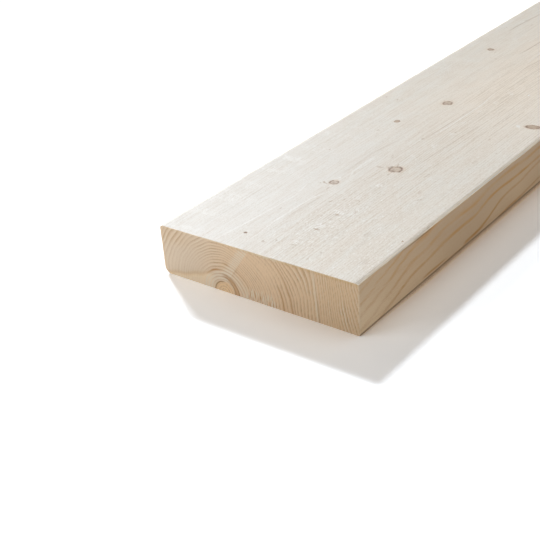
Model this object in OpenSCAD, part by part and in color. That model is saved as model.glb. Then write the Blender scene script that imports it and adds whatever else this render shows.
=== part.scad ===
// Planed softwood plank lying on its wide face, sawn square at both ends: one piece of stock.
// X runs along the grain from the near end to the far end, Y across the width, Z up.

/* [Stock] */
// length along the grain
length = 1800; // [900:10:6000]
// width of the wide face
width = 195; // [95:1:295]
// thickness of the section
thickness = 45; // [32:1:75]

/* [Eased arrises] */
// radius of the top arris on the front edge
front_top_r = 3.5; // [1:0.25:8]
// radius of the bottom arris on the front edge
front_bottom_r = 2; // [1:0.25:8]
// radius of the top arris on the back edge
back_top_r = 3; // [1:0.25:8]
// radius of the bottom arris on the back edge
back_bottom_r = 5; // [1:0.25:8]

/* [Torn arris] */
// distance from the near end to the middle of the tear in the front top arris
tear_at = 90; // [60:1:600]
// length of the tear along the arris
tear_length = 36; // [20:1:80]
// greatest depth of the tear below the eased arris
tear_depth = 1.6; // [0.5:0.1:4]

/* [Hidden] */
$fn = 64;
front_y = -width / 2;
back_y = width / 2;
near_x = -length / 2;
// how far the eased arris lies below the sharp corner that it replaces, along the diagonal
arris_drop = front_top_r * (sqrt(2) - 1);
// the tear is the dip of a wide roller of this radius, set across the arris
roller_r = (pow(tear_length / 2, 2) + pow(tear_depth, 2)) / (2 * tear_depth);
// the roller is long enough to run out past the top face and the front edge
roller_length = 4 * (front_top_r + tear_depth);

// Section of the stock, width along X and thickness along Y: straight faces joined by four quarter rounds.
module section() {
    translate([front_y + front_top_r, thickness - front_top_r])
        circle(r = front_top_r);
    translate([front_y + front_bottom_r, front_bottom_r])
        circle(r = front_bottom_r);
    translate([back_y - back_top_r, thickness - back_top_r])
        circle(r = back_top_r);
    translate([back_y - back_bottom_r, back_bottom_r])
        circle(r = back_bottom_r);
    // the eight ends of the straight faces, from the underside round to the front edge
    polygon([
        [front_y + front_bottom_r, 0],
        [back_y - back_bottom_r, 0],
        [back_y, back_bottom_r],
        [back_y, thickness - back_top_r],
        [back_y - back_top_r, thickness],
        [front_y + front_top_r, thickness],
        [front_y, thickness - front_top_r],
        [front_y, front_bottom_r]
    ]);
}

// The full length of stock, lying on its wide face.
module stock() {
    translate([near_x, 0, 0])
        rotate([90, 0, 90])
            linear_extrude(height = length)
                section();
}

// Shallow scoop where the fibres have torn out of the front top arris.
module tear() {
    translate([near_x + tear_at, front_y, thickness])
        rotate([-45, 0, 0])
            translate([0, arris_drop + tear_depth - roller_r, 0])
                cylinder(r = roller_r, h = roller_length, center = true);
}

module plank() {
    color([0.87, 0.82, 0.73])
        difference() {
            stock();
            tear();
        }
}

plank();
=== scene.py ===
import math
import bpy
import numpy as np
from mathutils import Matrix, Vector


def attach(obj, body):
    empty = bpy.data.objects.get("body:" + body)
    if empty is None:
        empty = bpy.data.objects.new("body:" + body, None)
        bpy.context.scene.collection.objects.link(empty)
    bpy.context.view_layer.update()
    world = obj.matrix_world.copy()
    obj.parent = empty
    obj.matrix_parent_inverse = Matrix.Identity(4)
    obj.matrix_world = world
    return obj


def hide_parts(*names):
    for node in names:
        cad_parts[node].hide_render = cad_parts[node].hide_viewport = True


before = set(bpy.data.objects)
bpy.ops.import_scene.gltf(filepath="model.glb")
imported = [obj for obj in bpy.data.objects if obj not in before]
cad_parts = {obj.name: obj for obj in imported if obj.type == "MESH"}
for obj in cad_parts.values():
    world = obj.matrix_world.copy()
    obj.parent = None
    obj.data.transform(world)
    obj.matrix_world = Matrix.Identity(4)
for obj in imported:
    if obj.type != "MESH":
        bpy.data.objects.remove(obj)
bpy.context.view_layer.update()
scene = bpy.context.scene
scene.view_settings.view_transform = "Standard"


def addObject(name, data):
    made = bpy.data.objects.new(name, data)
    scene.collection.objects.link(made)
    return made


# a number travelling through a node tree, so that rules can be written as plain sums
class Wire:
    def __init__(self, tree, socket):
        self.tree, self.socket = tree, socket

    def sum(self, kind, *others, clamp=False):
        node = self.tree.nodes.new("ShaderNodeMath")
        node.operation, node.use_clamp = kind, clamp
        for slot, value in zip(node.inputs, (self, *others)):
            plug(self.tree, slot, value)
        return Wire(self.tree, node.outputs[0])

    def __add__(self, other): return self.sum("ADD", other)
    def __sub__(self, other): return self.sum("SUBTRACT", other)
    def __rsub__(self, other): return (self * -1).sum("ADD", other)
    def __mul__(self, other): return self.sum("MULTIPLY", other)
    __radd__, __rmul__ = __add__, __mul__
    def __truediv__(self, other): return self.sum("DIVIDE", other)
    def __rtruediv__(self, other): return self.power(-1.0) * other
    def __neg__(self): return self * -1
    def __abs__(self): return self.sum("ABSOLUTE")
    def low(self, other): return self.sum("MINIMUM", other)
    def high(self, other): return self.sum("MAXIMUM", other)
    def over(self, other): return self.sum("GREATER_THAN", other)
    def root(self): return self.high(0.0).sum("SQRT")
    def power(self, other): return self.high(0.0).sum("POWER", other)
    def sign(self): return self.sum("SIGN")
    def sine(self): return self.sum("SINE")
    def cosine(self): return self.sum("COSINE")
    def floor(self): return self.sum("FLOOR")
    def part(self): return self.sum("FRACT")
    def decay(self): return (-self).sum("EXPONENT")
    def inside(self): return self.sum("ADD", 0.0, clamp=True)

    # 0 below start, 1 above end, eased between; start may lie above end
    def ramp(self, start, end):
        node = self.tree.nodes.new("ShaderNodeMapRange")
        node.interpolation_type = "SMOOTHSTEP"
        flip = start > end
        plug(self.tree, node.inputs[0], self)
        for slot, value in zip(node.inputs[1:5], (min(start, end), max(start, end), float(flip), float(not flip))):
            slot.default_value = value
        return Wire(self.tree, node.outputs[0])

    # a soft bump of the given half width around a value
    def near(self, value, half):
        return abs(self - value).ramp(half, 0.0)

    # 1 between a rising and a falling border
    def between(self, rise, fall):
        return self.ramp(*rise) * self.ramp(*fall)


def plug(tree, slot, value):
    if isinstance(value, Wire):
        tree.links.new(value.socket, slot)
    elif isinstance(value, bpy.types.NodeSocket):
        tree.links.new(value, slot)
    else:
        slot.default_value = value


def addNode(tree, kind, inputs=None, **settings):
    node = tree.nodes.new(kind)
    for name, value in settings.items():
        setattr(node, name, value)
    for name, value in (inputs or {}).items():
        plug(tree, node.inputs[name], value)
    return node


# the node tree of a material or world, emptied
def clearTree(owner):
    owner.use_nodes = True
    owner.node_tree.nodes.clear()
    return owner.node_tree


def combine(tree, x, y, z):
    return addNode(tree, "ShaderNodeCombineXYZ", {0: x, 1: y, 2: z}).outputs[0]


def separate(tree, vector):
    node = addNode(tree, "ShaderNodeSeparateXYZ", {0: vector})
    return [Wire(tree, out) for out in node.outputs]


# noise between -0.5 and 0.5
def noise(tree, vector, detail=2.0, rough=0.5):
    node = addNode(tree, "ShaderNodeTexNoise", {"Vector": vector, "Scale": 1.0, "Detail": detail, "Roughness": rough})
    return Wire(tree, node.outputs[0]) - 0.5


# a value read off a drawn curve of (in, out) points
def curve(tree, value, points):
    lowIn, highIn = points[0][0], points[-1][0]
    lowOut, highOut = min(p[1] for p in points), max(p[1] for p in points)
    scaled = [((a - lowIn) / (highIn - lowIn), (b - lowOut) / (highOut - lowOut)) for a, b in points]
    node = addNode(tree, "ShaderNodeFloatCurve", {"Value": (value - lowIn) / (highIn - lowIn)})
    line = node.mapping.curves[0]
    line.points[0].location, line.points[1].location = scaled[0], scaled[-1]
    for place in scaled[1:-1]:
        line.points.new(*place)
    for point in line.points:
        point.handle_type = "AUTO_CLAMPED"
    node.mapping.update()
    return Wire(tree, node.outputs[0]) * (highOut - lowOut) + lowOut


# the camera stands where the photograph was taken: close to the near end, a little to its right
camera = dict(place=(-1.4531, -0.472, 0.43369), azimuth=-50.501, elevation=29.141, roll=-4.693,
              lens=70.98, sensor=36.0, clip=(0.02, 60.0))


def makeCamera(c):
    az, el, roll = (math.radians(c[k]) for k in ("azimuth", "elevation", "roll"))
    back = Vector((math.sin(az) * math.cos(el), -math.cos(az) * math.cos(el), math.sin(el)))
    right = Vector((math.cos(az), math.sin(az), 0))
    up = back.cross(right)
    turnedRight = math.cos(roll) * right + math.sin(roll) * up
    turnedUp = math.cos(roll) * up - math.sin(roll) * right
    turn = Matrix((turnedRight, turnedUp, back)).transposed()
    data = bpy.data.cameras.new("photoCamera")
    data.sensor_width, data.lens = c["sensor"], c["lens"]
    data.clip_start, data.clip_end = c["clip"]
    scene.camera = addObject("photoCamera", data)
    scene.camera.matrix_world = Matrix.Translation(c["place"]) @ turn.to_4x4()


makeCamera(camera)
print("camera set")


# sizes of the plank in metres: its box as in the part's source, arrises and tear as the photograph shows them,
# the relief left by planing, sawing and handling, and how many points the grid has
plankSizes = {
    "Length": 1.8, "Width": 0.195, "Thickness": 0.045,
    "Front Top Run": 0.0029, "Front Top Fall": 0.0008, "Front Bottom Radius": 0.0016,
    "Back Top Radius": 0.003, "Back Bottom Radius": 0.0058,
    "Tear At": 0.09, "Tear Length": 0.036, "Tear Depth": 0.00025, "Arris Bow": 1.2,
    "Chatter Pitch": 0.031, "Chatter Depth": 0.00006, "Wear Depth": 0.0003, "Saw Depth": 0.00012,
    "Columns": 500, "Rows": 68, "Layers": 26,
}

# how far the grid closes up along, across and upright, how the relief's noise runs (x, y, z per metre, detail,
# roughness), where on the width the planer's waves lie, and the paces of the saw ridges
plankRelief = dict(
    gather=(0.35, 0.42, 0.47),
    tear=(60, 900, 900, 3.0, 0.5), wear=(45, 30, 30, 4.0, 0.6),
    planer=(9, 25, 0, 2.0, 0.5), wander=(7, 16, 16, 2.0, 0.5),
    ragged=0.9, wearBias=0.05, wearGain=4, planerDrift=3,
    planerBack=(0.02, 0.085), planerFront=(-0.06, -0.09), frontShare=0.4, wanderDepth=0.00012,
    saw=(420, 90, 25), sharpAngle=50,
)

# half the length, half the width and the thickness in mm, which the figure of the wood is counted in
halfLength, halfWidth = plankSizes["Length"] * 500, plankSizes["Width"] * 500
thickness = plankSizes["Thickness"] * 1000


def plankTree(sizes, r, material):
    tree = bpy.data.node_groups.new("plankShape", "GeometryNodeTree")
    tree.interface.new_socket("Geometry", in_out="OUTPUT", socket_type="NodeSocketGeometry")
    for name, value in sizes.items():
        kind = "NodeSocketInt" if isinstance(value, int) else "NodeSocketFloat"
        tree.interface.new_socket(name, in_out="INPUT", socket_type=kind)
    given = addNode(tree, "NodeGroupInput")
    size = {name: Wire(tree, given.outputs[name]) for name in sizes}
    block = addNode(tree, "GeometryNodeMeshCube", {"Size": (2.0, 2.0, 2.0), "Vertices X": size["Columns"],
                    "Vertices Y": size["Rows"], "Vertices Z": size["Layers"]})
    u, v, w = separate(tree, addNode(tree, "GeometryNodeInputPosition").outputs[0])
    length, width, thick = size["Length"], size["Width"], size["Thickness"]

    # the grid closes up towards the near end and towards the arrises
    gatherX, gatherY, gatherZ = r["gather"]
    t = (u + 1) * 0.5
    x = length * (t * (1 - gatherX + gatherX * t) - 0.5)
    y = width * 0.5 * v * (1 + gatherY - gatherY * v * v)
    z = thick * 0.5 * w * (1 + gatherZ - gatherZ * w * w)

    def rough(name):
        paceX, paceY, paceZ, detail, soft = r[name]
        return noise(tree, combine(tree, x * paceX, y * paceY, z * paceZ), detail, soft)

    # four eased arrises, the front top one planed wide and flat (bow 1 a chamfer, 2 an ellipse)
    isBack, isTop = y.over(0.0), z.over(0.0)
    isFrontTop = (1 - isBack) * isTop
    backRadius = isTop * size["Back Top Radius"] + (1 - isTop) * size["Back Bottom Radius"]
    others = isBack * backRadius + (1 - isBack) * (1 - isTop) * size["Front Bottom Radius"]
    run, fall = (isFrontTop * size[name] + others for name in ("Front Top Run", "Front Top Fall"))
    flatY, flatZ = width * 0.5 - run, thick * 0.5 - fall
    outY, outZ = (abs(y) - flatY).high(0.0) / run, (abs(z) - flatZ).high(0.0) / fall
    bow = isFrontTop * (size["Arris Bow"] - 2) + 2
    pull = outY.high(outZ) / (outY.power(bow) + outZ.power(bow)).high(1e-9).power(1 / bow)  # kept off a division by 0
    arris = outY * outZ
    sideY, sideZ = y.sign(), z.sign()
    y = sideY * (abs(y).low(flatY) + outY * pull * run)
    z = sideZ * (abs(z).low(flatZ) + outZ * pull * fall) + thick * 0.5

    # the tear: a wide roller dipped into the front top arris, ragged along the fibres
    diagonal = math.sqrt(0.5)
    dx = x + length * 0.5 - size["Tear At"]
    half, depth = size["Tear Length"] * 0.5, size["Tear Depth"]
    roller = (half * half + depth * depth) / (depth * 2)
    dip = depth - roller + (roller * roller - dx * dx).root()
    run, fall = size["Front Top Run"], size["Front Top Fall"]
    steep = size["Arris Bow"] / (size["Arris Bow"] - 1)
    drop = (run + fall - (run.power(steep) + fall.power(steep)).power(1 / steep)) * diagonal
    rag = rough("tear") * r["ragged"] * dip.high(0.0)
    deep = (y + width * 0.5 + thick - z) * diagonal
    push = (drop + dip + rag - deep).high(0.0) * dip.over(0.0) * diagonal
    y = y + push
    z = z - push

    # handling has rubbed and dented the arrises
    rub = (rough("wear") + r["wearBias"]).high(0.0) * arris * size["Wear Depth"] * r["wearGain"]
    y = y - sideY * rub
    z = z - sideZ * rub

    # the planer's cutter waves on the wide faces, and a slow wander of all faces
    wave = (x * (2 * math.pi) / size["Chatter Pitch"] + rough("planer") * r["planerDrift"]).sine()
    band = y.ramp(*r["planerBack"]) + y.ramp(*r["planerFront"]) * r["frontShare"]
    wander = (rough("wander") + 0.5) * r["wanderDepth"]
    z = z - sideZ * abs(w).over(0.999) * ((wave + 1) * band * size["Chatter Depth"] + wander)
    y = y - sideY * abs(v).over(0.999) * wander

    # sawn ends: shallow ridges across the cut
    sawY, sawSlant, sawZ = r["saw"]
    ridge = noise(tree, combine(tree, 0.0, y * sawY + z * sawSlant, z * sawZ))
    x = x - u.sign() * abs(u).over(0.9999) * (ridge + 0.5) * size["Saw Depth"]

    place = combine(tree, x, y, z)
    moved = addNode(tree, "GeometryNodeSetPosition", {"Geometry": block.outputs[0], "Position": place})
    smooth = addNode(tree, "GeometryNodeSetShadeSmooth", {"Geometry": moved.outputs[0]})
    real = addNode(tree, "GeometryNodeRealizeInstances", {"Geometry": smooth.outputs[0]})
    painted = addNode(tree, "GeometryNodeSetMaterial", {"Geometry": real.outputs[0], "Material": material})
    addNode(tree, "NodeGroupOutput", {0: painted.outputs[0]})
    return tree


def makePlank(sizes, r, material):
    tree = plankTree(sizes, r, material)
    maker = addObject("plankMaker", bpy.data.meshes.new("plankMaker"))
    shape = maker.modifiers.new("plankShape", "NODES")
    shape.node_group = tree
    for item in tree.interface.items_tree:
        if item.in_out == "INPUT":
            shape[item.identifier] = sizes[item.name]
    graph = bpy.context.evaluated_depsgraph_get()
    mesh = bpy.data.meshes.new_from_object(maker.evaluated_get(graph), preserve_all_data_layers=True, depsgraph=graph)
    bpy.data.objects.remove(maker)
    mesh.name = "plankWood"
    mesh.set_sharp_from_angle(angle=math.radians(r["sharpAngle"]))
    return addObject("plankWood", mesh)


# how the tree grew, in mm from the near end, the middle of the width and the underside
growth = dict(
    pithY=33.0, pithZ=-0.5, swayY=14.0, swayZ=5.0, swayPaceY=0.0028, swayPaceZ=0.0035,
    lean=0.12, undersideRoot=20.0, shortest=0.5,  # of the branches: lean to the near end, start and shortest reach
    # years passed at each distance from the pith, and how strongly their late wood shows there
    years=((0, 0), (9, 4.6), (14, 6.4), (24, 9.6), (28.3, 11), (45, 18), (61.3, 23), (65.3, 24), (69.3, 25),
           (72.3, 26), (75, 27), (78.3, 28), (81.3, 29), (84.3, 30), (90.5, 32), (119.3, 43), (122.7, 44),
           (125.65, 45), (128.6, 46), (132, 47), (135.3, 48), (138, 49), (150, 53)),
    strength=((0, 0.6), (9, 0.6), (15, 0.4), (24, 0.5), (30, 0.6), (50, 0.55), (58, 0.6), (63, 0.74), (84, 0.63),
              (92, 0.46), (150, 0.43)),
    # how far the rings have climbed the front edge: at its foot, at 28 mm and at its top
    climbMiddle=28.0, climbRate=0.29, frontRadius=36.5, frontLimit=-94, endLimit=-10, endShift=3.5,
    climbLow=((0, 2), (20, 7), (30, 12), (48, 17), (64, 22), (86, 27), (112, 29), (140, 29.5), (164, 30),
              (184, 31.5), (200, 34.5), (216, 39.5), (230, 43.5), (246, 45.3), (264, 46), (278, 47.5), (290, 49),
              (312, 52), (420, 55), (600, 66), (800, 58), (1000, 70), (1300, 64), (1550, 78), (1800, 90)),
    climbMid=((0, 2.5), (40, 12.5), (64, 21.5), (80, 25), (96, 26), (112, 29.4), (136, 32), (156, 32.5),
              (176, 31.6), (190, 33.5), (210, 37), (226, 38), (250, 36.7), (280, 36.6), (300, 37.5), (420, 50),
              (600, 64), (800, 59), (1000, 71), (1300, 62), (1550, 79), (1800, 88)),
    climbHigh=((0, 3.5), (30, 11), (56, 17), (76, 24.5), (100, 28), (120, 31), (140, 33.4), (166, 34.2),
               (190, 34.3), (230, 36), (252, 36.8), (268, 34.8), (300, 33.6), (420, 45), (600, 62), (800, 60),
               (1000, 72), (1300, 60), (1550, 80), (1800, 86)),
    # height of the dark line that crosses the other ones on the front edge
    crossing=((155, 2), (164, 3.6), (184, 5), (200, 8), (216, 13), (230, 17), (246, 18.6), (264, 19), (290, 22),
              (300, 23), (360, 27), (430, 34), (540, 46)),
)

# where each branch comes out: x, y, z, diameter across, tone from brown 0 to pale 1,
# darkness of its rim, how upright it grew
branches = [
    (24.1, 26.1, 45, 2.8, 0.0, 1.0, 0.9), (137.6, 17.3, 45, 8.2, 0.85, 1.0, 0.9),
    (185.6, -15.4, 45, 12, 0.7, 1.0, 0.9), (284.4, 42.6, 45, 5.8, 0.1, 0.7, 0.8),
    (349.3, 23.1, 45, 9.8, 0.5, 0.8, 0.9), (329, -77.9, 45, 8.6, 0.3, 0.8, 0.42),
    (455, -40, 45, 10, 0.5, 0.6, 0.8), (520, 62, 45, 7, 0.3, 0.6, 0.6), (612, 5, 45, 14, 0.6, 0.9, 0.9),
    (640, -68, 45, 8, 0.2, 0.5, 0.5), (760, 38, 45, 9, 0.7, 0.9, 0.9), (832, -22, 45, 12, 0.4, 0.5, 0.7),
    (905, 71, 45, 6, 0.1, 0.8, 0.6), (980, -55, 45, 10, 0.5, 0.7, 0.6), (1062, 15, 45, 15, 0.6, 0.9, 0.9),
    (1105, -80, 45, 7, 0.3, 0.5, 0.5), (1200, 48, 45, 10, 0.4, 0.4, 0.8), (1292, -12, 45, 13, 0.7, 0.8, 0.8),
    (1370, -62, 45, 8, 0.2, 0.6, 0.6), (1440, 30, 45, 12, 0.5, 0.5, 0.9), (1532, 66, 45, 6, 0.3, 0.8, 0.6),
    (1590, -35, 45, 13, 0.6, 0.9, 0.8), (1694, 8, 45, 9, 0.4, 0.5, 0.9), (1750, -72, 45, 7, 0.3, 0.7, 0.5),
    (560, -97.5, 24, 8, 0.4, 0.6, 0.8), (1010, -97.5, 15, 10, 0.5, 0.8, 0.8),
    (1480, -97.5, 28, 7, 0.3, 0.5, 0.8), (270, 97.5, 20, 9, 0.5, 0.7, 0.8), (820, 97.5, 30, 7, 0.4, 0.5, 0.8),
    (1330, 97.5, 16, 10, 0.6, 0.9, 0.8), (210, 48, 0, 4, 0.2, 0.6, 0.8), (655, 2, 0, 6, 0.4, 0.7, 0.8),
    (1130, -20, 0, 9, 0.5, 0.5, 0.7), (1580, 40, 0, 5, 0.3, 0.8, 0.8), (410, -30, 0, 8, 0.5, 0.9, 0.7),
    (880, -48, 0, 11, 0.6, 0.6, 0.6), (1290, 52, 0, 8, 0.3, 0.5, 0.8),
]

# marks on the top face: x, y, length, width, turn in degrees, tone (dark below 0, pale above)
topMarks = [
    (142, -64.5, 5.6, 2.0, -40, -0.5), (72.5, -90.5, 3.2, 2.2, 20, -0.8), (104.5, -1, 4, 1.6, -40, -0.9),
    (74, 27.5, 3.4, 2, -40, -0.5), (133.2, 23.5, 8, 2.2, 65, -0.6), (131.5, 27.8, 4, 1.6, 75, -0.4),
    (19.5, 4.5, 4, 2.2, 30, -0.35), (26, -3.8, 4, 2.2, 40, -0.35), (31, -19, 9, 8, 40, 0.35),
    (62, -19.5, 9, 8.5, -30, 0.42), (92, -20.5, 10, 8.5, 35, 0.48), (121.5, -19, 10, 8, -30, 0.5),
    (151, -20, 9, 7, 30, 0.4), (26.5, -20.5, 2.6, 7, 10, -0.3), (57, -20.5, 4, 7, -8, -0.45),
    (86.6, -21, 3.4, 6.5, 8, -0.38), (96, -24, 8, 2.4, 0, -0.25), (116.5, -20.5, 2.6, 6, 0, -0.28),
    (66, -23, 7, 1.8, 0, -0.35), (101.9, -54.9, 2.8, 2, 0, 0.7), (26.6, -46.2, 5, 2, 40, -0.3),
    (13, -43.2, 3.4, 1.6, 0, -0.3), (36.2, -58.1, 3, 1.8, 30, -0.3), (69, -61.1, 9, 5, 5, -0.18),
    (155, -58, 8, 3, 30, -0.15), (231.1, -68.3, 12, 3, 0, -0.15), (284.3, -56.5, 5, 3, 0, -0.25),
    (189.8, -46.5, 16, 1.6, 0, -0.3), (256.6, 46.9, 4, 4, 0, -0.2), (184, 0, 4, 9, 10, -0.28),
    (195.5, -12.5, 6, 2, 20, -0.4), (173.7, -15.7, 6, 2.2, 0, -0.3), (210, 2.5, 9, 2.4, 30, -0.22),
    (146.8, 18.2, 7, 2, -6, 0.5), (324, -66, 9, 4, 40, 0.6), (125.5, 15.2, 6, 1.6, 10, -0.3),
    (257, -2, 5, 3, 30, -0.3), (30, -83, 12, 6, 0, -0.13),
]

# wavy lines in the top face's figure: points x, y, then half width and tone
topStrokes = [
    (((2, 40), (25, 38), (50, 35), (82, 33), (100, 32), (112, 33.8), (135, 38.8)), 1.0, 0.65),
    (((5, 15.5), (32, 16.2), (50, 18), (82, 18), (105, 15.5), (120, 10), (132, 8)), 1.2, 0.65),
    (((57.7, 13.5), (81.9, 12), (113.8, 9.7)), 1.8, -0.16),
    (((150, 10), (165, 15.5), (180, 16), (205, 15)), 1.2, 0.5),
    (((240, -2), (260, -3), (285, -4.5), (314, -5.6), (360, -7), (405.8, -3.5)), 0.8, -0.4),
    (((253, -5.5), (280, -7.2), (314, -8.5), (360, -9.4), (401, -5.8)), 0.9, 0.7),
    (((193, -27.5), (217, -28.7), (250, -30), (280, -31.5), (318, -34)), 0.8, -0.35),
    (((144.9, 22.2), (178.8, 21.1), (207.9, 22), (251.4, 16)), 1.8, -0.2),
    (((0, 66), (58, 64.2), (116, 66.1)), 1.2, -0.1),
]


def pithAt(x):
    return np.array([x, growth["pithY"] - growth["swayY"] * (1 - math.cos(x * growth["swayPaceY"])),
                     growth["pithZ"] + growth["swayZ"] * (1 - math.cos(x * growth["swayPaceZ"]))])


# sides of the plank, numbered by the axis of their normal and its sign
onNear, onFar, onFront, onBack, onUnder, onTop = range(6)


# one value or several of each item, read into an array
def gathered(items, name, width, kind):
    values = np.empty(len(items) * width, dtype=kind)
    items.foreach_get(name, values)
    return values


# the mesh as arrays, in mm: corner places, the face of each corner, face middles and the side each face is on
def readMesh(mesh):
    points = gathered(mesh.vertices, "co", 3, np.float32)
    points = points.reshape(-1, 3) * 1000 + np.array([halfLength, 0.0, 0.0])
    cornerPoint = gathered(mesh.loops, "vertex_index", 1, np.int32)
    starts, totals = (gathered(mesh.polygons, name, 1, np.int32) for name in ("loop_start", "loop_total"))
    normals = gathered(mesh.polygons, "normal", 3, np.float32).reshape(-1, 3)
    axis = np.abs(normals).argmax(1)
    side = axis * 2 + (np.take_along_axis(normals, axis[:, None], 1)[:, 0] > 0)
    corners = points[cornerPoint]
    middles = np.add.reduceat(corners, starts) / totals[:, None]
    return corners, np.repeat(np.arange(len(starts)), totals), middles, side


def keepCorners(mesh, name, values):
    layer = mesh.attributes.new(name, "FLOAT_VECTOR", "CORNER")
    layer.data.foreach_set("vector", values.astype(np.float32).ravel())


# each face remembers the branch nearest to it: its corners hold their place across and along that branch
def markKnots(mesh, corners, cornerFace, middles):
    frames = []
    reach = np.empty((len(branches), len(middles)))
    for k, (x, y, z, across, tone, rim, upright) in enumerate(branches):
        tip = np.array([x, y, z], float)
        root = pithAt(x)
        if z < 1:  # branches of the underside start higher, or they would run out along it
            root[2] = growth["undersideRoot"]
        if abs(y) > halfWidth - 1:  # branches of the two narrow edges lie flat
            root[2] += (z - root[2]) * upright
        else:
            root[1] += (y - root[1]) * upright
        root[0] -= growth["lean"] * np.linalg.norm(tip[1:] - root[1:])
        axis = (tip - root) / np.linalg.norm(tip - root)
        along = np.array([1.0, 0, 0]) - axis[0] * axis
        along /= np.linalg.norm(along)
        turn = np.stack([along, np.cross(axis, along), axis], 1)
        slope = across / 2 / np.linalg.norm(tip - root)
        frames.append((root, turn, (slope, tone, rim)))
        local = (middles - root) @ turn
        reach[k] = np.hypot(local[:, 0], local[:, 1]) / (slope * np.maximum(local[:, 2], growth["shortest"]))
    nearest = reach.argmin(0)[cornerFace]
    place, traits = np.empty(corners.shape), np.empty(corners.shape)
    for k, (root, turn, kept) in enumerate(frames):
        mine = nearest == k
        place[mine] = (corners[mine] - root) @ turn
        traits[mine] = kept
    keepCorners(mesh, "knotPlace", place)
    keepCorners(mesh, "knotTraits", traits)


farAway = 9.0  # place, in half widths of a mark, of corners that have none


# a distance seen along and across a turned direction
def turned(dx, dy, angle):
    return dx * np.cos(angle) + dy * np.sin(angle), dy * np.cos(angle) - dx * np.sin(angle)


# marks scattered where none were measured: how many on each side and where, then for each kind
# the spans of length, width, turn in degrees and tone
scatter = dict(
    seed=7, counts={onTop: 330, onUnder: 260, onFront: 60, onBack: 60},
    clearTo=190, last=1795, wide=(-94, 94), narrow=(3, 42), darkShare=0.7,
    dentEvery=3, dentPitch=31, dentRow=-17, strayX=(-2, 2), strayY=(-5, 5),
    dent=((4, 8), (3, 5), (-15, 15), (0.15, 0.35)),
    dark=((2, 9), (0.9, 1.8), (-12, 12), (0.15, 0.4)),
    pale=((2, 6), (1.2, 2.4), (-12, 12), (0.2, 0.5)),
)


# small marks: measured ones on the near part of the top face, scattered ones elsewhere
def markSpecks(mesh, corners, cornerFace, middles, side, s):
    rng = np.random.default_rng(s["seed"])
    found = np.full(corners.shape, farAway)
    found[:, 2] = 0
    for onSide, count in s["counts"].items():
        given = topMarks if onSide == onTop else []
        across, span = (1, s["wide"]) if onSide in (onTop, onUnder) else (2, s["narrow"])
        marks = list(given)
        for k in range(count):
            x, y = rng.uniform(s["clearTo"] if given else 0, s["last"]), rng.uniform(*span)
            if given and k % s["dentEvery"] == 0:  # dents of the feed roller come in a row
                x = s["dentPitch"] * round(x / s["dentPitch"]) + rng.uniform(*s["strayX"])
                y = s["dentRow"] + rng.uniform(*s["strayY"])
                kind = "dent"
            else:
                kind = "dark" if rng.random() < s["darkShare"] else "pale"
            long, wide, angle, tone = (rng.uniform(*limits) for limits in s[kind])
            marks.append((x, y, long, wide, angle, -tone if kind == "dark" else tone))
        marks = np.array(marks)
        mine = np.flatnonzero(side == onSide)
        turn = np.radians(marks[:, 4])
        here = middles[mine]
        reach = np.empty((len(marks), len(mine)))
        for k, (x, y, long, wide, _, _) in enumerate(marks):
            along, aside = turned(here[:, 0] - x, here[:, across] - y, turn[k])
            reach[k] = np.hypot(along / long, aside / wide)
        nearest = np.full(len(middles), -1)
        nearest[mine] = reach.argmin(0)
        chosen = nearest[cornerFace]
        on = chosen >= 0
        kept = marks[chosen[on]]
        along, aside = turned(corners[on, 0] - kept[:, 0], corners[on, across] - kept[:, 1], turn[chosen[on]])
        found[on, 0] = along * 2 / kept[:, 2]
        found[on, 1] = aside * 2 / kept[:, 3]
        found[on, 2] = kept[:, 5]
    keepCorners(mesh, "speckPlace", found)


# wavy lines past the part that the photograph shows: where they start, and the spans of their sizes in mm
farStrokes = dict(seed=3, first=430, last=1760, pitch=26.0, y=(-80, 85), long=(60, 200), bend=(-4, 4), drift=(-5, 5),
                  half=(0.7, 1.3), tones=(-0.5, -0.35, 0.4), steps=(0, 0.2, 0.4, 0.6, 0.8, 1.0), wave=5, stop=1795,
                  reach=10, tip=5)


# long wavy lines of the figure: corners hold their distance from the nearest one and from its tips
def markStrokes(mesh, corners, cornerFace, middles, side, s):
    rng = np.random.default_rng(s["seed"])
    strokes = list(topStrokes)
    for x in np.arange(s["first"], s["last"], s["pitch"]):
        y, long, bend, drift = (rng.uniform(*s[name]) for name in ("y", "long", "bend", "drift"))
        steps = [t for t in s["steps"] if x + long * t < s["stop"]]
        points = [(x + long * t, y + drift * t + bend * math.sin(t * s["wave"])) for t in steps]
        strokes.append((points, rng.uniform(*s["half"]), rng.choice(s["tones"])))
    pieces = []
    for points, half, tone in strokes:
        points = np.array(points, float)
        run = np.concatenate([[0], np.cumsum(np.hypot(*np.diff(points, axis=0).T))])
        for k in range(len(points) - 1):
            pieces.append((points[k], points[k + 1], run[k], run[-1], half, tone))
    mine = np.flatnonzero(side == onTop)
    reach = np.empty((len(pieces), len(mine)))
    for k, (a, b, *_) in enumerate(pieces):
        d = middles[mine, :2] - a
        t = np.clip(d @ (b - a) / ((b - a) @ (b - a)), 0, 1)
        reach[k] = np.hypot(*(d - t[:, None] * (b - a)).T)
    nearest = np.full(len(middles), -1)
    nearest[mine] = np.where(reach.min(0) < s["reach"], reach.argmin(0), -1)
    chosen = nearest[cornerFace]
    found = np.zeros(corners.shape)
    found[:, 0] = farAway
    for k, (a, b, start, whole, half, tone) in enumerate(pieces):
        on = chosen == k
        d, way = corners[on, :2] - a, (b - a) / np.linalg.norm(b - a)
        place = (start + d @ way) / whole
        found[on, 0] = (d[:, 1] * way[0] - d[:, 0] * way[1]) / half
        found[on, 1] = np.minimum(place, 1 - place) * s["tip"]
        found[on, 2] = tone
    keepCorners(mesh, "strokePlace", found)


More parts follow.
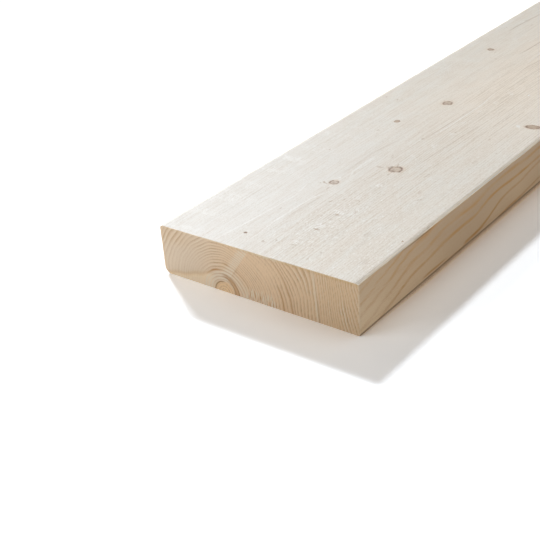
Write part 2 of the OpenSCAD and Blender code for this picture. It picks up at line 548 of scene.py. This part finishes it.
# the sheet for the export in mm: its whole side, the gap at its border, the first row of each side,
# the height of a wide and of a narrow row, then the column, rows and scale of the ends
sheet = dict(whole=1110.0, gap=3, rows={onTop: 0, onUnder: 402, onFront: 804, onBack: 906}, wideRow=201, narrowRow=51,
             endColumn=920, endRows={onNear: 0, onFar: 552}, endScale=2.75)


# the faces laid out flat: long faces cut in two halves, the ends larger beside them
def layFlat(mesh, corners, cornerFace, middles, side, s):
    flat = np.zeros((len(corners), 2))
    half = (middles[:, 0] > halfLength)[cornerFace]
    cornerSide = side[cornerFace]
    for onSide, row in s["rows"].items():
        on = cornerSide == onSide
        isWide = onSide in (onTop, onUnder)
        across = corners[on, 1] + halfWidth if isWide else corners[on, 2]
        flat[on, 0] = s["gap"] + corners[on, 0] - half[on] * halfLength
        flat[on, 1] = s["gap"] + row + across + half[on] * s["wideRow" if isWide else "narrowRow"]
    for onSide, row in s["endRows"].items():
        on = cornerSide == onSide
        flat[on, 0] = s["endColumn"] + corners[on, 2] * s["endScale"]
        flat[on, 1] = s["gap"] + row + (corners[on, 1] + halfWidth) * s["endScale"]
    layer = mesh.uv_layers.new(name="OFBake")
    layer.data.foreach_set("uv", (flat / s["whole"]).astype(np.float32).ravel())


# colours of the planed spruce, linear; the wide faces' colours are greyer and paler than the edges', partly the
# planed wood's own and partly painted sheen
wood = dict(
    faceEarly=(0.62, 0.56, 0.475), faceLate=(0.485, 0.39, 0.29), faceWarm=(0.595, 0.515, 0.425),
    facePale=(0.76, 0.735, 0.69), faceSheen=(0.65, 0.62, 0.58), faceCool=(0.615, 0.58, 0.515),
    faceFarWarm=(0.755, 0.645, 0.52),
    edgeEarly=(0.79, 0.585, 0.375), edgePale=(0.925, 0.72, 0.482), edgeShade=(0.60, 0.437, 0.281),
    # the last colour on the next line is the dark brown of the painted shade along the bottom arrises and under the
    # torn arris
    edgeLate=(0.585, 0.32, 0.128), resin=(0.50, 0.225, 0.045), paintedShade=(0.14, 0.075, 0.034),
    endEarly=(0.845, 0.615, 0.40), endPale=(0.75, 0.605, 0.455), endWarm=(0.765, 0.535, 0.315),
    endLate=(0.48, 0.29, 0.145), endFoot=(0.93, 0.735, 0.51),
    core=(0.94, 0.67, 0.40), darkRing=(0.30, 0.14, 0.055), redRing=(0.50, 0.25, 0.088),
    paleBand=(0.83, 0.72, 0.57), streak=(0.66, 0.43, 0.20),
    knotDark=(0.14, 0.068, 0.026), knotBrown=(0.345, 0.235, 0.145), knotPale=(0.52, 0.42, 0.325),
    # the next line's colours are pale fibres on the arrises and sawn borders; on the top arrises and the near upright
    # arris they are partly painted highlight
    fuzzAndHighlight=(0.83, 0.71, 0.55), splinterAndHighlight=(0.86, 0.71, 0.52),
)

# noise in the wood: pace along and across the grain per mm, gain, detail and roughness where not 2 and 0.5
textures = dict(
    wobble=(0.3, 0.3, 1.0), broken=(0.2, 0.2, 6.0), slow=(0.0045, 0.02, 1.0), fine=(0.013, 0.085, 1.0, 3.0),
    fibre=(0.004, 0.7, 2.2, 2.0, 0.6), thread=(0.03, 0.95, 2.2), grit=(0.55, 1.3, 2.4, 2.0, 0.6),
    patch=(0.012, 0.04, 1.6), cloud=(0.03, 0.085, 2.0), ragged=(0.4, 0.7, 2.4, 2.0, 0.6), drift=(0.01, 0.03, 5.0),
    stripe=(0.1, 0.02, 7.0), pebble=(0.22, 0.3, 3.0), dash=(0.045, 0.4, 4.0), torn=(0.2, 0.8, 1.0, 2.0, 0.6),
    drip=(0.05, 0.4, 3.0), splinterAndHighlight=(1.2, 1.2, 3.0), burr=(0.9, 0.9, 9.0, 2.0, 0.6),
)

# where the looks of the wide faces change, in mm; the paces of the cutter bands and the fine lines are per mm
topPlaces = dict(
    bandPace=0.2027, bandX=(300, 150), bandY=(30, 85), pebbleX=(330, 180), pebbleY=(45, 90),
    combPace=2.33, combY=(25, -15), lineY=(50, -20), frontY=(0, -80), warmY=(20, 80),
    farWarmX=(180, 420), farWarmY=(90, -20), sheenX=(420, 60), sheenY=(-80, 60),
    workedX=(330, 60), workedY=(25, 0), worstX=(70, 85), worstY=(-22, 36), frontLine=(-94.6, 0.8),
)

# where the narrow edges change, in mm: rings, dark crossing line, two drips of resin at the foot, painted shade at
# the foot, torn lip with painted shade
edgePlaces = dict(
    paleNearX=(75, 0), shadeZ=(4, 42), shadeX=(165, 110), lineX=(20, 120),
    crossingHalf=2.6, crossingX=((157, 165), (520, 420)), resinX=(200, 45),
    doubleRings=((119.8, 120.8), (126.8, 125.8)), doubleX=(150, 170), nearRing=(125.0, 2.2),
    dripZ=(4.4, 2.0), dripNear=((88, 97), (136, 124)), dripFar=((158, 166), (196, 182)),
    bottomShadeZ=(2.2, 0.8), lipZ=(42.9, 0.6), lipX=((56, 78), (110, 102)), splinterX=(1.6, 0.5),
)

# where the near end changes, in mm: calm corner, foot under the streak, radial band, rings, heart, sawn borders
endPlaces = dict(
    nearX=(200, 100), paleY=(10, 75), warmY=(-10, -80), calmY=(35, 60), calmZ=(38, 26),
    cornerY=(50, 80), cornerZ=(26, 38), stripeY=(-10, -60), fleckFront=(-30, -70), fleckBack=(-20, 60),
    footY=(40, 48), footTop=(97, 0.12, 0.0026, 2), footEdge=(0.5, -2.0), streak=(-0.3, 3.0), streakY=(38, 50),
    bandY=27.3, bandZ=20, bandTurn=(0.8168, 0.5769), band=((-4.4, -3.6), (5.6, 1.6)), bandFoot=(-17, -7),
    bandShade=(-4.8, 1.2), bandShadeAlong=(6, 12),
    haloBack=((10.5, 12), (22, 19)), haloFront=((16, 18), (27, 23)),
    redLow=(61.1, 1.7), redHigh=(69.1, 1.7), redBack=(22.2, 1.3), redTop=(28.2, 1.6), redSide=(28.4, 2.4),
    chipZ=(15, 2), chipY=((14, 4), (-30, -14)), ringLean=0.056, paleRing=(-59.4, 1.0), darkRing=(-61, 1.3),
    coreRadius=(10.4, 9.6), corePith=(9.2, 8.4), coreSkin=(9.6, 1.1), heartFlat=(0.61, 0.85), heartSide=(-2.0, 5.0),
    heartRing=((10.4, 11.2), (16.4, 15.4)), heartInner=(11.2, 1.3), heartOuter=(15.4, 1.2),
    topZ=(41, 44), topY=(50, 0), backY=(94.6, 96.6), frontBrink=(1.3, 0.5), topBrink=(43.8, 44.6),
    burrZ=(42.6, 43.8), burrY=(-14, 24),
)

# knots, in radii: skin around them, middle, dark rim; small ones are dark right through
knotPlaces = dict(skin=(1.7, 1.0), heart=(1.08, 0.94), rim=(0.93, 0.36),
                  smallRadius=(2.2, 1.6), smallHeart=(0.9, 0.4), flowFlat=0.42, flowReach=0.6)

# height in mm that each layer adds to the bump, and what it does to the roughness
relief = dict(lateWood=0.01, fibre=0.05, grit=0.08, thread=0.015, speck=0.08, stroke=0.03, sawn=0.1, rim=-0.05)
gloss = dict(planed=0.56, sawn=0.25, fibre=0.05, grit=0.06, specular=0.2)


def mixed(tree, amount, first, second, blend="MIX"):
    node = addNode(tree, "ShaderNodeMix", data_type="RGBA", blend_type=blend)
    plug(tree, node.inputs[0], amount)
    for slot, value in ((node.inputs[6], first), (node.inputs[7], second)):
        plug(tree, slot, (*value, 1.0) if isinstance(value, tuple) else value)
    return node.outputs[2]


def corner(tree, name):
    return separate(tree, addNode(tree, "ShaderNodeAttribute", attribute_name=name).outputs["Vector"])


def spruceMaterial(c):
    material = bpy.data.materials.new("planedSpruce")
    tree = clearTree(material)
    x, y, z = separate(tree, addNode(tree, "ShaderNodeTexCoord").outputs["Object"])
    x, y, z = x * 1000 + halfLength, y * 1000, z * 1000
    nx, ny, nz = separate(tree, addNode(tree, "ShaderNodeNewGeometry").outputs["Normal"])
    isEnd, isWide = abs(nx).ramp(0.6, 0.8), abs(nz).ramp(0.55, 0.95)

    def grain(name):
        along, across, gain, *kind = textures[name]
        return noise(tree, combine(tree, x * along, y * across, z * across), *kind) * gain

    def tint(base, amount, name):
        return mixed(tree, amount, base, c[name])

    # the branch nearest to this spot
    g, k = growth, knotPlaces
    across, beside, out = corner(tree, "knotPlace")
    slope, tone, rimDark = corner(tree, "knotTraits")
    knotR = slope * out.high(g["shortest"])
    wobble = grain("wobble")
    knot = (across * across + beside * beside).root() / knotR + wobble * 0.8
    flat = across * k["flowFlat"]
    flow = (flat * flat + beside * beside).root() / knotR

    # annual rings around the pith: closer on the back side, flatter and leaning towards the front edge
    slow, fine = grain("slow"), grain("fine")
    dy = y - g["pithY"] + (1 - (x * g["swayPaceY"]).cosine()) * g["swayY"]
    dz = z - g["pithZ"] - (1 - (x * g["swayPaceZ"]).cosine()) * g["swayZ"]
    tallZ = dz * (1.0 + dy.ramp(10, -40) * 0.1 - dy.ramp(-62, -98) * 0.75)
    radius = (dy * dy + tallZ * tallZ).root()
    front = y.ramp(-60, -halfWidth)
    low, mid, high = (curve(tree, x, g[name]) for name in ("climbLow", "climbMid", "climbHigh"))
    middle = g["climbMiddle"]
    climb = low + (mid - low) * (z / middle).inside() + (high - mid) * ((z - middle) / (thickness - middle)).inside()
    edgeY = y.high(isEnd * g["endLimit"] + g["frontLimit"])
    leaning = g["frontRadius"] - edgeY - isEnd * g["endShift"] + (z - climb) * g["climbRate"]
    aside = (flow - k["flowReach"]).high(0.0).decay() * knotR * 0.7
    ring = radius + (leaning - radius) * front + slow * (6 - front * 4.5)
    ring = ring + fine * (1.5 + isEnd * front * 2) - aside
    count = curve(tree, ring, g["years"])
    year, season = count.floor(), count.part()
    weather = addNode(tree, "ShaderNodeTexWhiteNoise", {"W": year}, noise_dimensions="1D")
    weather = Wire(tree, weather.outputs["Value"])
    strength = curve(tree, ring, g["strength"])
    late = season.between((0.3, 0.92), (1.0, 0.94))
    thin = season.between((0.6, 0.88), (1.0, 0.9))

    # fibres along the grain, grit, blotches; cutter bands and a pebbled look near the back edge
    w = topPlaces
    fibre, thread, grit, patch = (grain(name) for name in ("fibre", "thread", "grit", "patch"))
    bands = (x * w["bandPace"] + grain("drift")).sine() + grain("stripe")
    bands = bands * y.ramp(*w["bandY"]) * (x.ramp(*w["bandX"]) * 0.6 + 0.4)
    pebble = grain("pebble") * y.ramp(*w["pebbleY"]) * x.ramp(*w["pebbleX"])

    # the mark and the wavy line nearest to this spot
    u, v, speckTone = corner(tree, "speckPlace")
    ragged = grain("ragged")
    speck = (u * u + v * v + ragged * 2.4).ramp(1.1, 0.1) * speckTone
    strokeAcross, strokeTip, strokeTone = corner(tree, "strokePlace")
    stroke = (strokeAcross + fine * 1.5).near(0.0, 1.2) * strokeTip.inside() * strokeTone
    stroke = stroke * (ragged * 0.6 + 0.8).inside()
    marks = speck + stroke

    # planed wide faces: dashed lines, finer ones in the front half, warm and grey clouds, torn flecks, and a painted
    # sheen, greyer and paler, towards the near end's back side
    dash = (grain("dash") + 0.5).inside()
    comb = (y * w["combPace"] + slow * 12 + fine * 6).sine().ramp(0.1, 1.0) * y.ramp(*w["combY"])
    lines = (thin * (0.25 + 0.35 * weather) * y.ramp(*w["lineY"]).high(0.25) + comb * 0.5) * (dash * 0.7 + 0.3)
    faceDark = lines + fibre * 0.3 + grit * 0.45 + thread * 0.55 + 0.1 - y.ramp(*w["frontY"]) * 0.1
    cloud = grain("cloud")
    warm = (cloud + patch * 0.6 - y.ramp(*w["warmY"]) * 0.15).ramp(-0.1, 0.35)
    # the wide faces' base colours, greyer and paler than the edges', partly painted sheen
    face = mixed(tree, warm * 0.6, c["faceEarly"], c["faceWarm"])
    face = tint(face, (cloud - 0.05).ramp(0.0, -0.3) * 0.45, "faceCool")
    # warmer and paler from about 180 to 420 mm on from the near end, towards the front side
    face = tint(face, x.ramp(*w["farWarmX"]) * y.ramp(*w["farWarmY"]) * 0.7, "faceFarWarm")
    # painted sheen: greyer and paler towards the near end's back side
    face = tint(face, y.ramp(*w["sheenY"]) * x.ramp(*w["sheenX"]) * 0.6, "faceSheen")
    face = tint(face, faceDark.inside(), "faceLate")
    torn = grain("torn")
    worked = y.ramp(*w["workedY"]) * (x.ramp(*w["workedX"]) * 0.7 + 0.3)
    worst = x.near(*w["worstX"]) * y.near(*w["worstY"])
    tornPale = torn.ramp(-0.1, -0.22) * 0.7 * worked + torn.ramp(-0.05, -0.16) * worst * 0.4
    tornDark = torn.ramp(0.13, 0.24) * 0.4 * worked + torn.ramp(0.06, 0.16) * worst * 0.35
    pale = marks.high(0.0) * 1.1 + tornPale - grit * 0.35 + bands * 0.13 + pebble * 0.4 + y.ramp(*w["frontY"]) * 0.16
    face = tint(face, pale.inside(), "facePale")
    face = tint(face, (marks.low(0.0) * -1.5 + tornDark).inside(), "knotBrown")

    # front and back edges: soft lines, one of them crossing the others, resin at the foot
    e = edgePlaces
    soft = season.near(0.74, 0.3)
    # the edge is paler towards the near end
    edge = mixed(tree, x.ramp(*e["paleNearX"]) * 0.8, c["edgeEarly"], c["edgePale"])
    # painted shade: the edge darkens towards its top; it is also darker around 165 mm from the near end
    edge = tint(edge, (z.ramp(*e["shadeZ"]) * 0.8 + x.near(*e["shadeX"]) * 0.54).inside(), "edgeShade")
    # painted shade: the back edge, lit by the softboxes behind, is darker
    edge = tint(edge, ny.ramp(0.4, 0.8), "edgeShade")
    begun, ended = e["crossingX"]
    crossing = (z - curve(tree, x, g["crossing"])).near(0.0, e["crossingHalf"]) * x.between(begun, ended)
    past = x.ramp(*e["doubleX"])
    doubled = ring.between(*e["doubleRings"]) * past + ring.near(*e["nearRing"]) * (1 - past)
    alone = 1 - doubled * x.ramp(*ended)
    edgeDark = soft * (0.47 + 0.5 * weather + cloud * 0.8) * alone * (0.6 + x.ramp(*e["lineX"]) * 0.4)
    edgeDark = edgeDark + crossing * 0.5 + fibre * 0.26 + patch * 0.12 + grit * 0.27 + thread * 0.18
    edge = tint(edge, edgeDark.inside(), "edgeLate")
    edge = tint(edge, crossing * (0.1 + x.near(*e["resinX"]) * 0.4), "resin")
    drips = x.between(*e["dripNear"]) * 0.8 + x.between(*e["dripFar"])
    drips = z.near(*e["dripZ"]) * drips * ny.ramp(-0.6, -0.9)
    edge = tint(edge, drips * (grain("drip") + 0.7).inside() * 0.85, "resin")

    # sawn ends: rings strong at the upper back corner, calm below it, striped towards the front
    n = endPlaces
    # partly the wood's own tone and partly painted light and shade: paler towards the back, darker and warmer towards
    # the front
    end = mixed(tree, y.ramp(*n["paleY"]), c["endEarly"], c["endPale"])
    end = tint(end, y.ramp(*n["warmY"]) * 0.8, "endWarm")
    nearEnd = isEnd * x.ramp(*n["nearX"])
    fleck = noise(tree, combine(tree, 0.0, y * 1.1 + z * 0.25, z * 0.22))
    fromY, slant, bow, lift = n["footTop"]
    inward = fromY - y
    under = z - (inward * slant + inward * inward * bow + lift)
    foot = under.ramp(*n["footEdge"]) * y.ramp(*n["footY"]) * nearEnd
    calm = (1 - foot * 0.6) * (1 - y.ramp(*n["calmY"]) * (0.22 + z.ramp(*n["calmZ"]) * 0.28))
    endDark = late * strength * (0.5 + 0.45 * weather) * calm * (1 + patch * 2) + grit * 0.22
    endDark = endDark + fleck * (1.0 + y.ramp(*n["fleckFront"]) * 0.4) * (1 - y.ramp(*n["fleckBack"]) * 0.6)
    end = tint(end, foot * 0.8, "endFoot")
    end = tint(end, y.ramp(*n["cornerY"]) * z.ramp(*n["cornerZ"]) * 0.3, "endWarm")
    end = tint(end, endDark.inside(), "endLate")
    fresh = season.between((0.0, 0.12), (0.5, 0.2)) * (0.05 + y.ramp(*n["stripeY"]) * 0.15 + weather * 0.3)
    fresh = fresh * (1 + patch * 2)
    end = tint(end, (fresh + fresh * fleck * 4).inside(), "paleBand")

    # near end: pale radial band with a shaded side, pale zone around the heart, warm streak
    turnY, turnZ = n["bandTurn"]
    bandAcross = (y - n["bandY"]) * turnY + (z - n["bandZ"]) * turnZ + fine * 2
    bandAlong = (z - n["bandZ"]) * turnY - (y - n["bandY"]) * turnZ
    band = bandAcross.between(*n["band"]) * bandAlong.ramp(*n["bandFoot"]) * nearEnd
    end = tint(end, band * (0.7 - late * 0.65 + fleck), "paleBand")
    shaded = bandAcross.near(*n["bandShade"]) * bandAlong.near(*n["bandShadeAlong"])
    end = tint(end, shaded * nearEnd * 0.3, "endLate")
    back = (dy + dz * 0.4).ramp(-8, 6)
    halo = ring.between(*n["haloBack"]) * back + ring.between(*n["haloFront"]) * (1 - back) * 0.8
    end = tint(end, halo * (0.6 - late * 0.55 + fleck) * nearEnd, "paleBand")
    streak = (under + fine * 5).near(*n["streak"]) * y.ramp(*n["streakY"])
    end = tint(end, streak * nearEnd * 0.43, "streak")

    # strong red rings, flecks at the foot, one pale ring with a dark side, a warm top border
    strong = ring.near(*n["redLow"]) * z.ramp(24, 16) * 0.62 + ring.near(*n["redHigh"]) * (0.67 - z * 0.011)
    strong = strong * dy.ramp(0, -30) + ring.near(*n["redBack"]) * dy.near(9, 11) * back
    strong = strong + ring.near(*n["redTop"]) * dy.near(-4, 6) * 0.5
    strong = strong + ring.near(*n["redSide"]) * (dz * 0.8 - dy).near(26, 16) * dy.ramp(-10, -18) * 0.45
    end = tint(end, (strong * nearEnd).inside(), "redRing")
    chip = noise(tree, combine(tree, 0.0, y * 0.8, z * 0.08), 2.0, 0.7)
    chip = chip * z.ramp(*n["chipZ"]) * y.between(*n["chipY"]) * nearEnd
    end = tint(end, (chip * 8 - 0.35).inside(), "redRing")
    end = tint(end, (chip * -20 + 0.05).inside(), "fuzzAndHighlight")
    upright = y - z * n["ringLean"]
    end = tint(end, upright.near(*n["paleRing"]) * nearEnd * 0.7, "paleBand")
    end = tint(end, upright.near(*n["darkRing"]) * z.ramp(30, 5) * nearEnd * 0.35, "darkRing")
    end = tint(end, z.ramp(*n["topZ"]) * y.ramp(*n["topY"]) * (0.35 + fleck * 2), "streak")

    # heart of the log: warm core with a thin dark skin, and to its right a broad brown ring between two dark lines
    coreR, innerR, outerR = ((dy * dy + dz * dz * low).root() + fine * 1.5 for low in (1.0, *n["heartFlat"]))
    rightOf = (dz * 0.1 - dy).ramp(*n["heartSide"])
    pithRings = coreR.ramp(*n["corePith"]) * (coreR * 2.5).sine().ramp(0.0, 1.0)
    darkLines = (innerR.near(*n["heartInner"]) + outerR.near(*n["heartOuter"])).inside()
    rise, fall = n["heartRing"]
    end = tint(end, coreR.ramp(*n["coreRadius"]) * (0.7 - fleck), "core")
    end = tint(end, pithRings * (0.35 + fleck), "endLate")
    end = tint(end, coreR.near(*n["coreSkin"]) * (1 - rightOf) * 0.75, "darkRing")
    end = tint(end, innerR.ramp(*rise) * outerR.ramp(*fall) * rightOf * 0.5, "redRing")
    end = tint(end, darkLines * rightOf * 0.3, "darkRing")

    # a warm border along the back, and a whitish line along the sawn arrises, partly fibres standing up and partly
    # painted highlight
    end = tint(end, y.ramp(*n["backY"]) * 0.4, "endWarm")
    splintered = grain("splinterAndHighlight") + 0.6
    brink = (halfWidth + y).ramp(*n["frontBrink"]) * z.near(23, 24) + z.ramp(*n["topBrink"])
    end = tint(end, (brink.inside() * isEnd * splintered).inside() * 0.7, "splinterAndHighlight")
    burr = (z + grain("burr")).ramp(*n["burrZ"]) * y.near(*n["burrY"])
    end = tint(end, burr * nearEnd * 0.8, "fuzzAndHighlight")
    # the same whitish line on the edges beside the near upright arris, partly painted highlight
    edge = tint(edge, (x.ramp(*e["splinterX"]) * splintered).inside() * 0.7, "splinterAndHighlight")

    # the sides put together, with pale fuzz and painted highlight on the planed top arrises and a dark line beside
    # the front one
    colour = mixed(tree, isWide, edge, face)
    # painted highlight, with pale fibres: the top arrises stay light as they turn down
    onArris = abs(nz).between((0.3, 0.5), (0.998, 0.96)) * z.ramp(40, 42)
    colour = tint(colour, onArris * (0.7 + fibre + thread * 2.2).inside(), "fuzzAndHighlight")
    frontLine = (y + fine).near(*w["frontLine"]) * z.ramp(43, 44)
    colour = tint(colour, frontLine * (0.5 + thread), "faceLate")
    colour = mixed(tree, isEnd, colour, end)

    # painted shade along the bottom arrises where they meet the floor, and painted shade in a dark line under the
    # torn top arris
    bottomShade = z.ramp(*e["bottomShadeZ"]) * abs(nz).ramp(0.995, 0.95) * (1 - isEnd)
    colour = tint(colour, bottomShade * 0.95, "paintedShade")
    lip = (z + fine).near(*e["lipZ"]) * x.between(*e["lipX"]) * ny.ramp(-0.4, -0.8)
    colour = tint(colour, lip * 0.8, "paintedShade")

    # knots: pale to brown middle with rings of its own, dark broken rim
    colour = tint(colour, knot.ramp(*k["skin"]) * 0.45 * isWide * (0.5 + ragged).inside(), "edgeLate")
    knotRings = (knot * 7 + wobble * 6).sine() * 0.1 + 0.06 + wobble * 2.2
    heart = mixed(tree, tone, c["knotBrown"], c["knotPale"])
    heart = tint(heart, knotRings.inside(), "knotDark")
    rim = knot.near(*k["rim"]) * (grain("broken") + 0.9).inside() * rimDark
    rim = rim + knotR.ramp(*k["smallRadius"]) * knot.ramp(*k["smallHeart"])
    colour = mixed(tree, knot.ramp(*k["heart"]), colour, heart)
    colour = tint(colour, rim.inside(), "knotDark")

    # raised late wood, fibres, torn specks, dents
    layers = dict(lateWood=thin, fibre=fibre, grit=grit, thread=thread, speck=speck, stroke=stroke,
                  sawn=fleck * isEnd, rim=rim)
    height = sum(layers[name] * amount for name, amount in relief.items())
    bump = addNode(tree, "ShaderNodeBump", {"Strength": 1.0, "Distance": 0.001, "Height": height})
    rough = isEnd * gloss["sawn"] + gloss["planed"] + fibre * gloss["fibre"] + grit * gloss["grit"]
    shader = addNode(tree, "ShaderNodeBsdfPrincipled", {"Base Color": colour, "Roughness": rough,
                     "Specular IOR Level": gloss["specular"], "Normal": bump.outputs[0]})
    addNode(tree, "ShaderNodeOutputMaterial", {0: shader.outputs[0]})
    return material


woodMaterial = spruceMaterial(wood)
plank = makePlank(plankSizes, plankRelief, woodMaterial)
print("plank made,", sum(len(f.vertices) - 2 for f in plank.data.polygons), "triangles")
meshParts = readMesh(plank.data)
markKnots(plank.data, *meshParts[:3])
markSpecks(plank.data, *meshParts, scatter)
markStrokes(plank.data, *meshParts, farStrokes)
layFlat(plank.data, *meshParts, sheet)
print("knots and marks placed")


# 1 for what the camera sees, straight, in a reflection or through glass
def seenRay(tree):
    path = addNode(tree, "ShaderNodeLightPath")
    kinds = ("Is Camera Ray", "Is Glossy Ray", "Is Transmission Ray")
    eye, gloss, glass = (Wire(tree, path.outputs[kind]) for kind in kinds)
    return eye.high(gloss).high(glass)


# a lamp that shines against the given direction
def addLamp(name, kind, energy, direction):
    lamp = addObject(name, bpy.data.lights.new(name, kind))
    lamp.data.energy = energy
    lamp.rotation_euler = direction.to_track_quat("Z", "Y").to_euler()
    return lamp


# white paper floor with painted shade where the plank touches it, two softboxes behind, two low fills in front;
# places on the floor in metres, open sky over it from 0 to 1
studio = dict(
    floorHalf=30, floor=(0.62, 0.62, 0.62), floorSeen=(1.28, 1.34, 1.40), floorBehind=(0.93, 0.97, 1.01),
    floorNear=(0.47, 0.375, 0.275), paperGlow=(0.262, 0.238, 0.212), contactGlow=(0.05, 0.02, 0.0),
    contactTint=(1.0, 0.87, 0.71), contactReach=0.03, gloomReach=0.09,
    besideY=(-0.09, -0.1), behindY=(0.085, 0.105), gloomY=(0.06, -0.08), gloomSky=(0.92, 0.5),
    nearX=(-0.8, -0.9), glowX=(-0.9, -0.94), glowY=(0.02, -0.12),
    closedSky=0.24, contactSky=(0.47, 0.54), warmSky=(0.66, 0.52), litSky=(0.5, 0.57), openSky=(0.57, 0.85),
    world=(0.115, 0.11, 0.105), white=(1.0, 1.0, 1.0), key=(0.96, 1.0, 1.04),
    keys=(((0.0475, 0.0461, 0.045), 2.13, 4.6), ((0.0480, 0.0738, 0.045), 2.68, 7.5)),
    fills=(((-1.5, 0.5, 0.12), 4.7), ((-0.9, -0.9, 0.12), 2.6)), fillSize=0.5, fillAim=(-0.9, 0.0, 0.02),
)


def makeStudio(s):
    floorMesh = bpy.data.meshes.new("paperFloor")
    far = s["floorHalf"]
    floorMesh.from_pydata([(-far, -far, 0), (far, -far, 0), (far, far, 0), (-far, far, 0)], [], [(0, 1, 2, 3)])
    floor = addObject("paperFloor", floorMesh)
    paper = bpy.data.materials.new("whitePaper")
    tree = clearTree(paper)
    matt = addNode(tree, "ShaderNodeBsdfDiffuse", {"Color": (*s["floor"], 1.0)})
    reaches = (s["contactReach"], s["gloomReach"])
    views = (addNode(tree, "ShaderNodeAmbientOcclusion", {"Distance": reach}) for reach in reaches)
    sky, wideSky = (Wire(tree, view.outputs["AO"]) for view in views)
    floorX, floorY, _ = separate(tree, addNode(tree, "ShaderNodeTexCoord").outputs["Object"])
    # painted shade: occlusion and place darken the paper's colour and glow beside the plank and in front of its end
    beside = floorY.ramp(*s["besideY"])
    gloom = wideSky.ramp(*s["gloomSky"]) * (0.12 + floorY.ramp(*s["gloomY"]) * 0.14) * (1 - beside)
    sky = sky + floorX.ramp(*s["nearX"]) * 0.06
    opened = ((sky - s["closedSky"]) / (1 - s["closedSky"])).inside() * sky.ramp(*s["contactSky"])
    clear = opened * beside * 0.96 + (1 - beside) * (1 - gloom * 1.2)
    # painted bounce light: the paper turns warm close beside the front edge
    warm = sky.ramp(*s["warmSky"]) * beside
    glowing = mixed(tree, warm, mixed(tree, clear, s["contactGlow"], s["paperGlow"]), s["contactTint"], "MULTIPLY")
    # painted light: the glow is a little stronger in front of the plank's end, towards its front edge
    glow = addNode(tree, "ShaderNodeEmission", {"Color": glowing,
                   "Strength": floorY.ramp(*s["glowY"]) * floorX.ramp(*s["glowX"]) * 0.1 + 1})
    # painted shade: the paper's colour darkens to a brown beside the plank and in front of its end
    lit = 1 - beside * (1 - sky.ramp(*s["litSky"]) * 0.72 - sky.ramp(*s["openSky"]) * 0.28) - gloom * 1.6
    seen = mixed(tree, floorY.ramp(*s["behindY"]), s["floorSeen"], s["floorBehind"])
    seen = mixed(tree, lit, s["floorNear"], seen)
    bright = addNode(tree, "ShaderNodeBsdfDiffuse", {"Color": mixed(tree, warm, seen, s["contactTint"], "MULTIPLY")})
    lifted = addNode(tree, "ShaderNodeAddShader", {0: bright.outputs[0], 1: glow.outputs[0]})
    both = addNode(tree, "ShaderNodeMixShader", {0: seenRay(tree), 1: matt.outputs[0], 2: lifted.outputs[0]})
    addNode(tree, "ShaderNodeOutputMaterial", {0: both.outputs[0]})
    floorMesh.materials.append(paper)

    world = bpy.data.worlds.new("studioWorld")
    scene.world = world
    tree = clearTree(world)
    dim, white = (addNode(tree, "ShaderNodeBackground", {"Color": (*s[name], 1.0)}) for name in ("world", "white"))
    both = addNode(tree, "ShaderNodeMixShader", {0: seenRay(tree), 1: dim.outputs[0], 2: white.outputs[0]})
    addNode(tree, "ShaderNodeOutputWorld", {0: both.outputs[0]})

    for name, (origin, strength, angle) in zip(("backSoftbox", "sideSoftbox"), s["keys"]):
        sun = addLamp(name, "SUN", strength, Vector(origin))
        sun.data.angle, sun.data.color = math.radians(angle), s["key"]

    for name, (place, power) in zip(("leftFill", "rightFill"), s["fills"]):
        fill = addLamp(name, "AREA", power, Vector(place) - Vector(s["fillAim"]))
        fill.data.size, fill.location, fill.visible_camera = s["fillSize"], place, False


makeStudio(studio)
print("studio set")

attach(plank, "root")
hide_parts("plank")
